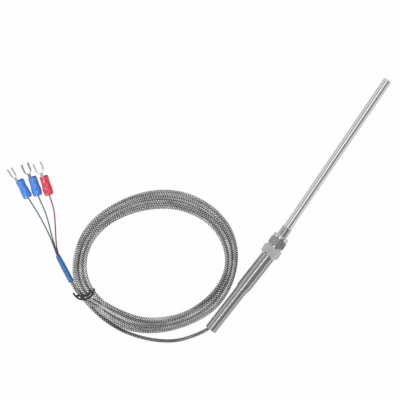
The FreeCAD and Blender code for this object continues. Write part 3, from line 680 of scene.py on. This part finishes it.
braid, tree, shader = finish("braided_steel", (0.5, 0.5, 0.5), metallic=0.5, roughness=0.40)
weave = add(tree, "ShaderNodeUVMap", uv_map="weave").outputs[0]
woven = place_group(tree, braid_group, weave, Wires=3.0)
# Painted shade at the edges of the diamonds.
shade = calculate(tree, "MULTIPLY", woven["Depth"], PAINTED_EDGE_SHADE)
shade = calculate(tree, "MULTIPLY_ADD", patches_on(tree, scale=1100.0), SPOT_SHARE, shade)
along = add(tree, "ShaderNodeSeparateXYZ")
tree.links.new(weave, along.inputs[0])
# The loose stretch next to the probe is made darker.
loose_darker = add(
    tree,
    "ShaderNodeMapRange",
    {"From Min": LOOSE_DARKER_END, "From Max": LOOSE_DARKER_END * LOOSE_DARKER_FULL, "To Max": LOOSE_DARKER_SHARE},
)
tree.links.new(along.outputs["X"], loose_darker.inputs["Value"])
shade = calculate(tree, "ADD", shade, loose_darker.outputs[0])
stretches = place_group(tree, lines_group, weave, Stretch=STRETCHES)["Lines"]
uneven = calculate(tree, "MULTIPLY_ADD", stretches, STRETCH_SHARE, -STRETCH_SHARE / 2)
shade = calculate(tree, "ADD", shade, uneven)
# The ramp turns the sum into a grey, white where the diamonds' middles are painted light.
grey = ramp(
    tree, shade, (0.32, (1.00, 1.00, 0.99)), (0.58, (0.50, 0.50, 0.49)), (0.84, (0.03, 0.03, 0.03))
)
tree.links.new(grey, shader.inputs["Base Color"])
bump(tree, shader, woven["Height"], depth=0.10 * MM, strength=0.6)
print(f"{braid.name}: {len(tree.nodes)} nodes")

# %% [markdown]
# The lead itself is the tube round its route. Twelve sides make three diamonds round it, and the
# knuckles stand out by a tenth of a millimetre, so the braid also shows at the lead's edges.

# %% Braided lead
BRAID_R = CABLE_R + 0.02 * MM
BRAID_SIDES = 12
KNUCKLE = 0.10 * MM

lead = new_piece(
    "braided_lead",
    tube(lead_line, BRAID_R, BRAID_SIDES, KNUCKLE),
    braid,
    replaces=("cable_run", "cable_coil", "cable_tail"),
)

# %% [markdown]
# ## Metal finishes
#
# The sheath is drawn and polished, so its faint lines run along it. The fitting and the nut are turned
# and milled from bar, so theirs run round it. In both cases the lines change the roughness a little
# and scratch the surface by a hundredth of a millimetre or less. A picture of scratches could be used
# too, but noise needs no UV map and doesn't repeat.

# %% Sheath and fitting
SHEATH_CLOUDS = 0.08
FITTING_CLOUDS = 0.16
FITTING_LEAST = 0.04

sheath_steel, tree, shader = finish("polished_sheath", (0.83, 0.83, 0.83), metallic=1.0)
drawn = lines_on(tree, stretch=(25.0, 2600.0, 2600.0))
cloudy = calculate(tree, "MULTIPLY", patches_on(tree, scale=160.0), SHEATH_CLOUDS)
vary_roughness(tree, shader, drawn, change=0.14, least=cloudy)
bump(tree, shader, drawn, depth=0.01 * MM, strength=0.12)

machined, tree, shader = finish("machined_steel", (0.74, 0.74, 0.74), metallic=1.0)
turned = lines_on(tree, stretch=(5200.0, 60.0, 60.0))
patches = patches_on(tree, scale=260.0)
cloudy = calculate(tree, "MULTIPLY_ADD", patches, FITTING_CLOUDS, FITTING_LEAST)
vary_roughness(tree, shader, turned, change=0.10, least=cloudy)
bump(tree, shader, turned, depth=0.01 * MM, strength=0.35)
print("finishes of the sheath and of the fitting")

# %% [markdown]
# The spring's wire is drawn too. The lines along it spread its highlights across it, which on the wound
# spring is along the probe, so the shader is told that direction and made anisotropic. The forks are
# stamped from sheet and plated with tin, which leaves them bright and slightly dimpled.

# %% Spring wire and tin plate
spring_wire, tree, shader = finish("spring_wire", (0.55, 0.55, 0.55), metallic=1.0, Anisotropic=0.8)
vary_roughness(tree, shader, patches_on(tree, scale=700.0), change=0.16, least=0.12)
across_wire = add(tree, "ShaderNodeCombineXYZ", dict(zip("XYZ", SPRING_WAY)))
tree.links.new(across_wire.outputs[0], shader.inputs["Tangent"])

tinned, tree, shader = finish("tin_plate", (0.80, 0.80, 0.79), metallic=1.0)
cloudy = patches_on(tree, scale=900.0)
vary_roughness(tree, shader, cloudy, change=0.14, least=0.15)
bump(tree, shader, cloudy, depth=0.05 * MM, strength=0.5)
print("finishes of the spring and of the forks")

# %% [markdown]
# Inside the probe there are a brass ferrule, a ceramic insulator with the element, nickel leads and a
# plug of cement. They only show in a cut or when the fitting slides, so each gets one quiet effect.

# %% Finishes of the inner pieces
brass, tree, shader = finish("turned_brass", (0.80, 0.60, 0.26), metallic=1.0)
vary_roughness(tree, shader, lines_on(tree, stretch=(6000.0, 80.0, 80.0)), change=0.25, least=0.15)

ceramic, tree, shader = finish("fired_ceramic", (0.86, 0.83, 0.75), roughness=0.6)
bump(tree, shader, patches_on(tree, scale=2500.0), depth=0.03 * MM, strength=0.4)

cement, tree, shader = finish("cement", (0.07, 0.07, 0.075), roughness=0.8)
bump(tree, shader, patches_on(tree, scale=1800.0), depth=0.08 * MM, strength=0.6)

nickel, tree, shader = finish("nickel_wire", (0.74, 0.71, 0.66), metallic=1.0)
vary_roughness(tree, shader, patches_on(tree, scale=1200.0), change=0.3, least=0.2)
print("brass, ceramic, cement and nickel")

# %% [markdown]
# Many solids, inside and outside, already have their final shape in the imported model. They stay as they
# are and only get a finish.

# %% Solids that keep their shape
KEPT_SOLIDS = {
    "sensing_element": ceramic,
    "ceramic_insulator": ceramic,
    "end_seal": cement,
    "ferrule": brass,
    "probe_sheath": sheath_steel,
    "transition_sleeve": sheath_steel,
    "compression_nut": machined,
    "cable_entry": braid,
}
for core in ("red", "blue_middle", "blue_outer"):
    KEPT_SOLIDS[f"inner_lead_{core}"] = nickel
    KEPT_SOLIDS[f"splice_{core}"] = nickel
    KEPT_SOLIDS[f"fork_terminal_{core}"] = tinned
for name, material in KEPT_SOLIDS.items():
    nodes[name].data.materials.clear()
    nodes[name].data.materials.append(material)
print(f"{len(KEPT_SOLIDS)} solids keep their shape")

# %% [markdown]
# ## The spring
#
# A close-wound spring is a small circle swept along a helix. The spin operator does this in one go when
# every step also moves on by its share of the pitch. A curve with a round bevel could be wound too, but
# a mesh can be drawn in and cut afterwards. The turns of this spring stand out only a little, so the
# circle is flattened, and it is a hundredth narrower than the pitch, so no two turns share a line. The
# wire is wound at the wide radius from end to end and the rear turns are then drawn inwards, which gives
# the step in the middle. One turn too many is wound and both ends are cut flat, as a real spring's ends
# are ground square.

# %% Winding and cutting


def wind(bm, turns, steps, pitch):
    """Sweeps an outline along a helix round the X axis, with so many steps to a turn."""
    outline = bm.verts[:] + bm.edges[:]
    onwards = (pitch / steps, 0, 0)
    angle = math.tau * turns
    bmesh.ops.spin(bm, geom=outline, axis=(1, 0, 0), angle=angle, steps=turns * steps, dvec=onwards)


def cut(bm, place, way):
    """Cuts a shape at a plane and drops what lies beyond it on the plane's way."""
    whole = bm.verts[:] + bm.edges[:] + bm.faces[:]
    bmesh.ops.bisect_plane(bm, geom=whole, plane_co=place, plane_no=way, clear_outer=True)


# %% Radius and place


def from_axis(point):
    """How far a point is from the X axis."""
    return math.hypot(point.y, point.z)


def set_radius(vertex, radius):
    """Moves a vertex to a distance from the X axis."""
    vertex.co.yz = vertex.co.yz * (radius / from_axis(vertex.co))


def lay(bm, place, heading):
    """Turns a shape that was made along the X axis to its heading and takes it to its place."""
    turn = Matrix.Rotation(math.radians(heading), 4, "Z")
    bmesh.ops.transform(bm, verts=bm.verts, matrix=Matrix.Translation(place) @ turn)


# %% Strain-relief spring
WIRE_R = 0.6 * MM
WIRE_SIDES = 12
WIRE_SHARE = 0.99
FLATNESS = 0.34
SPRING_LENGTH = 67.2 * MM
STEPS_PER_TURN = 28
WIDE_R = 5.2 * MM
STEP_IN = 0.9 * MM
STEP_FROM = 27.0 * MM
STEP_TO = 33.0 * MM
GROUND_AT = -17.5 * MM

bm = bmesh.new()
bmesh.ops.create_circle(bm, radius=WIRE_R, segments=WIRE_SIDES)
bmesh.ops.scale(bm, verts=bm.verts, vec=(WIRE_SHARE, FLATNESS, 1))
bmesh.ops.translate(bm, verts=bm.verts, vec=(-WIRE_R, WIDE_R - WIRE_R * FLATNESS, 0))
wind(bm, round(SPRING_LENGTH / (2 * WIRE_R)) + 1, STEPS_PER_TURN, 2 * WIRE_R)
for vertex in bm.verts:
    inwards = STEP_IN * ease((vertex.co.x - STEP_FROM) / (STEP_TO - STEP_FROM))
    set_radius(vertex, from_axis(vertex.co) - inwards)
lay(bm, SPRING_END - SPRING_WAY * SPRING_LENGTH, SPRING_HEADING)
cut(bm, (GROUND_AT, 0, 0), (1, 0, 0))
cut(bm, SPRING_END, SPRING_WAY)
close_openings(bm)
new_piece("wound_spring", bm, spring_wire, replaces=("strain_relief_spring",))

# %% [markdown]
# ## The thread
#
# The solid fitting has a plain cylinder where the thread is. A ridge with sloping sides is spun round
# it as a helix with a pitch of 1.25 mm and cut flat at both ends. It runs out in the chamfer at its
# front end. Its edges are marked sharp, so the crest and the flanks catch the light one by one. A bump
# could draw the turns too, but not the zigzag that a thread has at its sides.

# %% Thread ridge
THREAD_R = 4.0 * MM
ROOT_R = 3.25 * MM
PITCH = 1.25 * MM
THREAD_LENGTH = 7.2 * MM
THREAD_TURNS = 6
THREAD_STEPS = 32
CHAMFER = 0.6 * MM
RIDGE_PROFILE = ((-0.56, 3.22), (-0.2, 4.0), (0.2, 4.0), (0.56, 3.22))
RIDGE_START = 0.1 * MM
SHARP = math.radians(30.0)


def draw_outline(bm, profile):
    """A closed outline through (x, radius) corners in millimetres."""
    corners = [bm.verts.new((x * MM, radius * MM, 0)) for x, radius in profile]
    for a, b in zip(corners, corners[1:] + corners[:1]):
        bm.edges.new((a, b))


ridge = bmesh.new()
draw_outline(ridge, RIDGE_PROFILE)
wind(ridge, THREAD_TURNS, THREAD_STEPS, PITCH)
bmesh.ops.translate(ridge, verts=ridge.verts, vec=(RIDGE_START, 0, 0))
cut(ridge, (0, 0, 0), (-1, 0, 0))
cut(ridge, (THREAD_LENGTH, 0, 0), (1, 0, 0))
for vertex in ridge.verts:
    limit = THREAD_R - max(0.0, vertex.co.x - THREAD_LENGTH + CHAMFER)
    set_radius(vertex, min(limit, from_axis(vertex.co)))
close_openings(ridge)
for edge in ridge.edges:
    edge.smooth = edge.calc_face_angle() < SHARP
print(f"ridge with {len(ridge.faces)} faces")

# %% [markdown]
# The thread's steel is painted dark down in the grooves and bright on the crests: painted shade and painted
# light. The grey follows the distance from the axis, from the root of the thread to its crest.

# %% Grooved steel with painted shade
groove_shaded_steel, tree, shader = finish("thread_steel_painted_shade", (0.74, 0.74, 0.74), metallic=1.0, roughness=0.2)
axes = add(tree, "ShaderNodeSeparateXYZ")
tree.links.new(object_coordinates(tree), axes.inputs[0])
squares = [calculate(tree, "MULTIPLY", axes.outputs[axis], axes.outputs[axis]) for axis in "YZ"]
distance = calculate(tree, "SQRT", calculate(tree, "ADD", *squares))
rise = add(tree, "ShaderNodeMapRange", {"From Min": ROOT_R, "From Max": THREAD_R})
tree.links.new(distance, rise.inputs["Value"])
# Painted shade at the root of the thread and painted light at its crest.
tree.links.new(ramp(tree, rise.outputs[0], (0.0, 0.30), (0.7, 0.92)), shader.inputs["Base Color"])
new_piece("process_thread", ridge, groove_shaded_steel, "fitting")

# %% [markdown]
# The rest of the fitting is a copy of the solid with its plain cylinder turned down to the root of the
# thread. The solid's mesh is loose triangles, so the copy's doubles are merged before it is changed.

# %% Fitting body
HAIR = 0.01 * MM
DOUBLES = 1e-6

bm = bmesh.new()
bm.from_mesh(nodes["threaded_fitting"].data)
bmesh.ops.remove_doubles(bm, verts=bm.verts, dist=DOUBLES)
for vertex in bm.verts:
    if vertex.co.x > -HAIR and ROOT_R < from_axis(vertex.co) < THREAD_R + HAIR:
        set_radius(vertex, ROOT_R)
new_piece(
    "fitting_body",
    bm,
    machined,
    "fitting",
    replaces=("threaded_fitting",),
    smooth=False,
)

# %% [markdown]
# ## Plastics
#
# The grips are soft vinyl with a high gloss, and their inside is painted dark: painted shade in the
# hollow. A low roughness alone would give them one sharp highlight, so a clear coat lays a sharp one over
# a softer one. The shrunk tube is satin. The cores have thin smooth insulation. The tie is wire in black
# plastic.

# %% Plastic finishes
UNEVEN_GLOSS = 0.1
WIRE_GREY = (0.10, 0.16, 0.17)


def plastic(name, colour, roughness, **sockets):
    """A smooth coloured plastic with a faint unevenness in its gloss."""
    material, tree, shader = finish(name, colour, roughness=roughness, **sockets)
    glossiest = roughness - UNEVEN_GLOSS / 2
    vary_roughness(tree, shader, patches_on(tree, scale=600.0), change=UNEVEN_GLOSS, least=glossiest)
    return material


vinyl = {
    "red": plastic("red_vinyl", (0.69, 0.044, 0.090), roughness=0.14, Coat_Weight=1.0),
    "blue": plastic("blue_vinyl", (0.055, 0.225, 0.70), roughness=0.14, Coat_Weight=1.0),
}
# Dark copies of the vinyl for the grips' insides: painted shade.
vinyl_painted_shade = {
    "red": plastic("red_vinyl_painted_shade", (0.09, 0.006, 0.012), roughness=0.4),
    "blue": plastic("blue_vinyl_painted_shade", (0.006, 0.02, 0.08), roughness=0.4),
}
shrink = plastic("blue_shrink", (0.035, 0.14, 0.37), roughness=0.3)
insulation = {
    "red": plastic("red_insulation", (0.37, 0.042, 0.068), roughness=0.35),
    "blue": plastic("grey_insulation", WIRE_GREY, roughness=0.35),
}
black = plastic("black_coating", (0.012, 0.012, 0.012), roughness=0.4)
print("vinyl, shrunk tube, insulation and the tie's coating")

# %% [markdown]
# The two cores of the blue terminals are grey, and they turn blue towards the shrunk tube. The tube
# lies lower along Y than the terminals do, so Y tells how close to it a point of a core is.

# %% Tint of the grey cores
WIRE_BLUE = (0.02, 0.07, 0.17)
GREY_FROM = 140.0 * MM
BLUE_UP_TO = 127.0 * MM

tree = insulation["blue"].node_tree
axes = add(tree, "ShaderNodeSeparateXYZ")
tree.links.new(object_coordinates(tree), axes.inputs[0])
near_tube = add(tree, "ShaderNodeMapRange", {"From Min": GREY_FROM, "From Max": BLUE_UP_TO})
tree.links.new(axes.outputs["Y"], near_tube.inputs["Value"])
tint = add(tree, "ShaderNodeMix", data_type="RGBA")
tint.inputs["A"].default_value = (*WIRE_GREY, 1.0)
tint.inputs["B"].default_value = (*WIRE_BLUE, 1.0)
tree.links.new(near_tube.outputs[0], tint.inputs["Factor"])
tree.links.new(tint.outputs["Result"], tree.nodes["Principled BSDF"].inputs["Base Color"])
print(f"the cores are blue up to {BLUE_UP_TO / MM:.0f} mm and grey from {GREY_FROM / MM:.0f} mm")

# %% [markdown]
# ## The shrunk tube
#
# The blue tube is shrunk over the end of the braid and tapers where the braid ends inside it. Its
# profile is spun round its own axis and then turned to where it lies. A plain cylinder would have no
# taper, and no slow ripple, which shows that the tube was shrunk by hand with hot air.

# %% Shrunk tube
RIPPLE = 0.03
QUICK_WAVE = 1.7
SLOW_WAVE = 0.5
TAPER_FROM = 15
TUBE_STEPS = 40


def spun(profile, steps, longest=1.0 * MM):
    """A profile of (x, radius) corners in millimetres, its long edges divided, spun round the X axis."""
    bm = bmesh.new()
    draw_outline(bm, profile)
    for edge in bm.edges[:]:
        bmesh.ops.subdivide_edges(bm, edges=[edge], cuts=int(edge.calc_length() / longest))
    outline = bm.verts[:] + bm.edges[:]
    bmesh.ops.spin(bm, geom=outline, axis=(1, 0, 0), angle=math.tau, steps=steps, use_merge=True)
    bmesh.ops.recalc_face_normals(bm, faces=bm.faces)
    return bm


tube_profile = [(0.0, 1.30), (0.0, 1.80), (0.2, SHRINK_RADIUS)]
for x in range(1, TAPER_FROM):
    tube_profile.append((x, SHRINK_RADIUS + RIPPLE * math.sin(QUICK_WAVE * x) * math.sin(SLOW_WAVE * x)))
tube_profile += [(TAPER_FROM, 1.94), (16.0, 1.86), (17.5, 1.78), (19.5, 1.74), (21.1, 1.74)]
tube_profile += [(21.3, 1.68), (21.3, 1.30)]
bm = spun(tube_profile, TUBE_STEPS)
lay(bm, SHRINK_START, SHRINK_HEADING)
shrunk_tube = new_piece("shrunk_tube", bm, shrink, replaces=("heat_shrink_sleeve",))

# %% [markdown]
# ## Terminals
#
# Each grip is a vinyl sleeve, wide at the wire and narrower at the fork, with a bore that is widest at
# the fork. The crimping tool has pressed two dents into it, each from both sides. After the spin, the
# vertices of the outer wall near a dent are moved inwards by a smooth hump. Sculpting could do this too,
# but a formula gives three equal grips. The soft ends are squeezed askew, so the hollow shows from
# above, and the faces inside have a dark finish that is painted shade.

# %% Measures of a grip
GRIP_PROFILE = (
    (0.0, 2.3), (0.05, 2.75), (0.25, 3.02), (0.6, 3.22), (1.1, 3.34), (1.8, 3.42), (3.6, 3.58),
    (4.6, 3.6), (5.6, 3.5), (6.2, 3.36), (6.8, 3.25), (7.6, 3.17), (8.6, 3.15), (9.8, 3.15),
    (11.0, 3.15), (12.2, 3.15), (13.3, 3.13), (13.7, 3.08), (13.9, 2.98), (13.9, 2.9),
    (13.6, 2.86), (10.5, 2.85), (10.3, 2.1), (3.3, 2.1), (3.1, 2.2),
)
GRIP_STEPS = 64
GRIP_LONGEST = 0.4 * MM
HOLLOW_R = 2.88 * MM
OUTER_WALL = 2.92 * MM
DENTS = ((4.6, 0.60, 1.5), (9.4, 0.45, 1.5))
DENT_FROM = 0.45
DENT_SPAN = 0.5
SLANT = 0.2
print(f"grips {max(x for x, _ in GRIP_PROFILE)} mm long")

# %% Shape of a grip


def dent_depth(x):
    """How deep the two dents (place, depth and reach in millimetres) are at a place along the grip."""
    return MM * sum(depth * math.exp(-(((x / MM - place) / reach) ** 2)) for place, depth, reach in DENTS)


def grip_shape(roll):
    """A dented grip along the X axis, rolled by so many degrees, with its inside as a dark second finish of
    painted shade.
    """
    bm = spun(GRIP_PROFILE, GRIP_STEPS, GRIP_LONGEST)
    for face in bm.faces:
        # Faces inside the hollow get the second finish, which is painted shade.
        face.material_index = int(from_axis(face.calc_center_median()) < HOLLOW_R)
    for vertex in bm.verts:
        radius = from_axis(vertex.co)
        if radius > OUTER_WALL:
            pressed = ease((abs(vertex.co.z) / radius - DENT_FROM) / DENT_SPAN)
            set_radius(vertex, radius - dent_depth(vertex.co.x) * pressed)
    bmesh.ops.rotate(bm, verts=bm.verts, matrix=Matrix.Rotation(math.radians(roll), 3, "X"))
    for vertex in bm.verts:
        vertex.co.x -= SLANT * vertex.co.z
    return bm


# %% [markdown]
# The three grips have the same shape and lie rolled by different angles. Each is written down with its
# colour, the place where its core goes in, its heading and its roll.

# %% Terminal grips
TERMINALS = {
    "red": ("red", (-69.3, 154.2), 51.0, 8.0),
    "blue_middle": ("blue", (-74.2, 160.6), 52.0, 35.0),
    "blue_outer": ("blue", (-79.4, 165.7), 61.0, 60.0),
}
ENTRY_HEIGHT = 3.6

grips = {}
for name, (colour, (x, y), heading, roll) in TERMINALS.items():
    bm = grip_shape(roll)
    lay(bm, on_floor(x, y, ENTRY_HEIGHT), heading)
    solid = f"terminal_grip_{name}"
    grips[name] = new_piece(f"grip_{name}", bm, vinyl[colour], replaces=(solid,))
    # The second finish, for the inside, is painted shade.
    grips[name].data.materials.append(vinyl_painted_shade[colour])

# %% [markdown]
# ## The three cores
#
# The cores leave the shrunk tube together, part after a few millimetres and run along the floor to
# their terminals. Each is a curve of its own, from the braid's end to well inside its grip, where it
# follows the fork, which sits a little askew. How far a core starts beside and over the middle of the
# braid stands before its route.

# %% Routes of the cores
LEFT_OF_TUBE = Vector((-SHRINK_WAY.y, SHRINK_WAY.x, 0.0))
STRAIGHT_OUT = 6.0 * MM
BEFORE_GRIP = 1.6 * MM
FORK_PIVOT = 3.0 * MM
FORK_SKEW = 5.0
CORE_INSIDE = 7.0 * MM
CORES = {
    "red": (
        (-0.55, -0.3),
        ((-97.45, 129.1, 1.05), (-91.4, 134.0, 0.5), (-83.5, 139.8, 0.5), (-76.2, 145.6, 1.5)),
    ),
    "blue_middle": (
        (0.0, 0.6),
        ((-98.2, 129.5, 1.8), (-93.0, 136.3, 0.8), (-86.4, 143.5, 0.5), (-80.6, 150.6, 1.5)),
    ),
    "blue_outer": (
        (0.55, -0.3),
        ((-98.9, 129.9, 0.9), (-93.9, 137.2, 0.5), (-88.6, 146.5, 0.5), (-84.0, 155.6, 1.5)),
    ),
}
print(f"{len(CORES)} routes")

# %% Control points of a core


def core_points(name):
    """The control points of a core, from the end of the braid to the inside of its grip."""
    (beside, over), route = CORES[name]
    _, (x, y), heading, _ = TERMINALS[name]
    start = LEAD_END + LEFT_OF_TUBE * beside * MM + Vector((0, 0, over * MM))
    mouth = on_floor(x, y, ENTRY_HEIGHT)
    way = pointing(heading)
    pivot = mouth + way * FORK_PIVOT
    inside = pointing(heading + FORK_SKEW) * (CORE_INSIDE - FORK_PIVOT)
    points = [start, start + SHRINK_WAY * STRAIGHT_OUT]
    points += [on_floor(*point) for point in route]
    points += [mouth - way * BEFORE_GRIP, pivot, pivot + inside]
    return points


# %% Cores
CORE_R = 0.5 * MM
CORE_SIDES = 10
CORE_STEP = 0.8 * MM

for name, (colour, *_) in TERMINALS.items():
    line = evenly(smooth_line(core_points(name)), CORE_STEP)
    piece = new_piece(
        f"lead_core_{name}",
        tube(line, CORE_R, CORE_SIDES),
        insulation[colour],
        replaces=(f"core_{name}",),
    )
    print(f"core {name}: {length_of(line) / MM:.1f} mm")

# %% [markdown]
# ## The tie
#
# A short black wire holds the bundle. It goes round under the turns, comes up on both sides, and its
# two ends are bent up and left standing, so from above it looks like a shallow bow. It is a tube round
# a curve, as the lead is, so its bends are smooth and the wire keeps its thickness.

# %% Coil tie
TIE_R = 0.68 * MM
TIE_SIDES = 12
TIE_STEP = 0.3 * MM
TIE_ROUTE = (
    (-117.5, 100.4, 7.6), (-119.2, 96.6, 6.8), (-117.8, 91.8, 7.4), (-113.4, 88.4, 7.8),
    (-109.2, 88.8, 7.4), (-106.9, 89.4, 4.0), (-107.6, 90.0, 0.7), (-112.3, 93.0, 0.6),
    (-117.6, 96.4, 0.7), (-118.8, 97.2, 4.0), (-117.2, 97.0, 7.2), (-115.8, 93.6, 7.8),
    (-113.2, 90.9, 8.0), (-110.4, 90.2, 8.2), (-108.8, 91.8, 8.8),
)

tie_line = evenly(smooth_line([on_floor(*point) for point in TIE_ROUTE]), TIE_STEP)
tie = new_piece("tie_wire", tube(tie_line, TIE_R, TIE_SIDES), black, replaces=("coil_tie",))
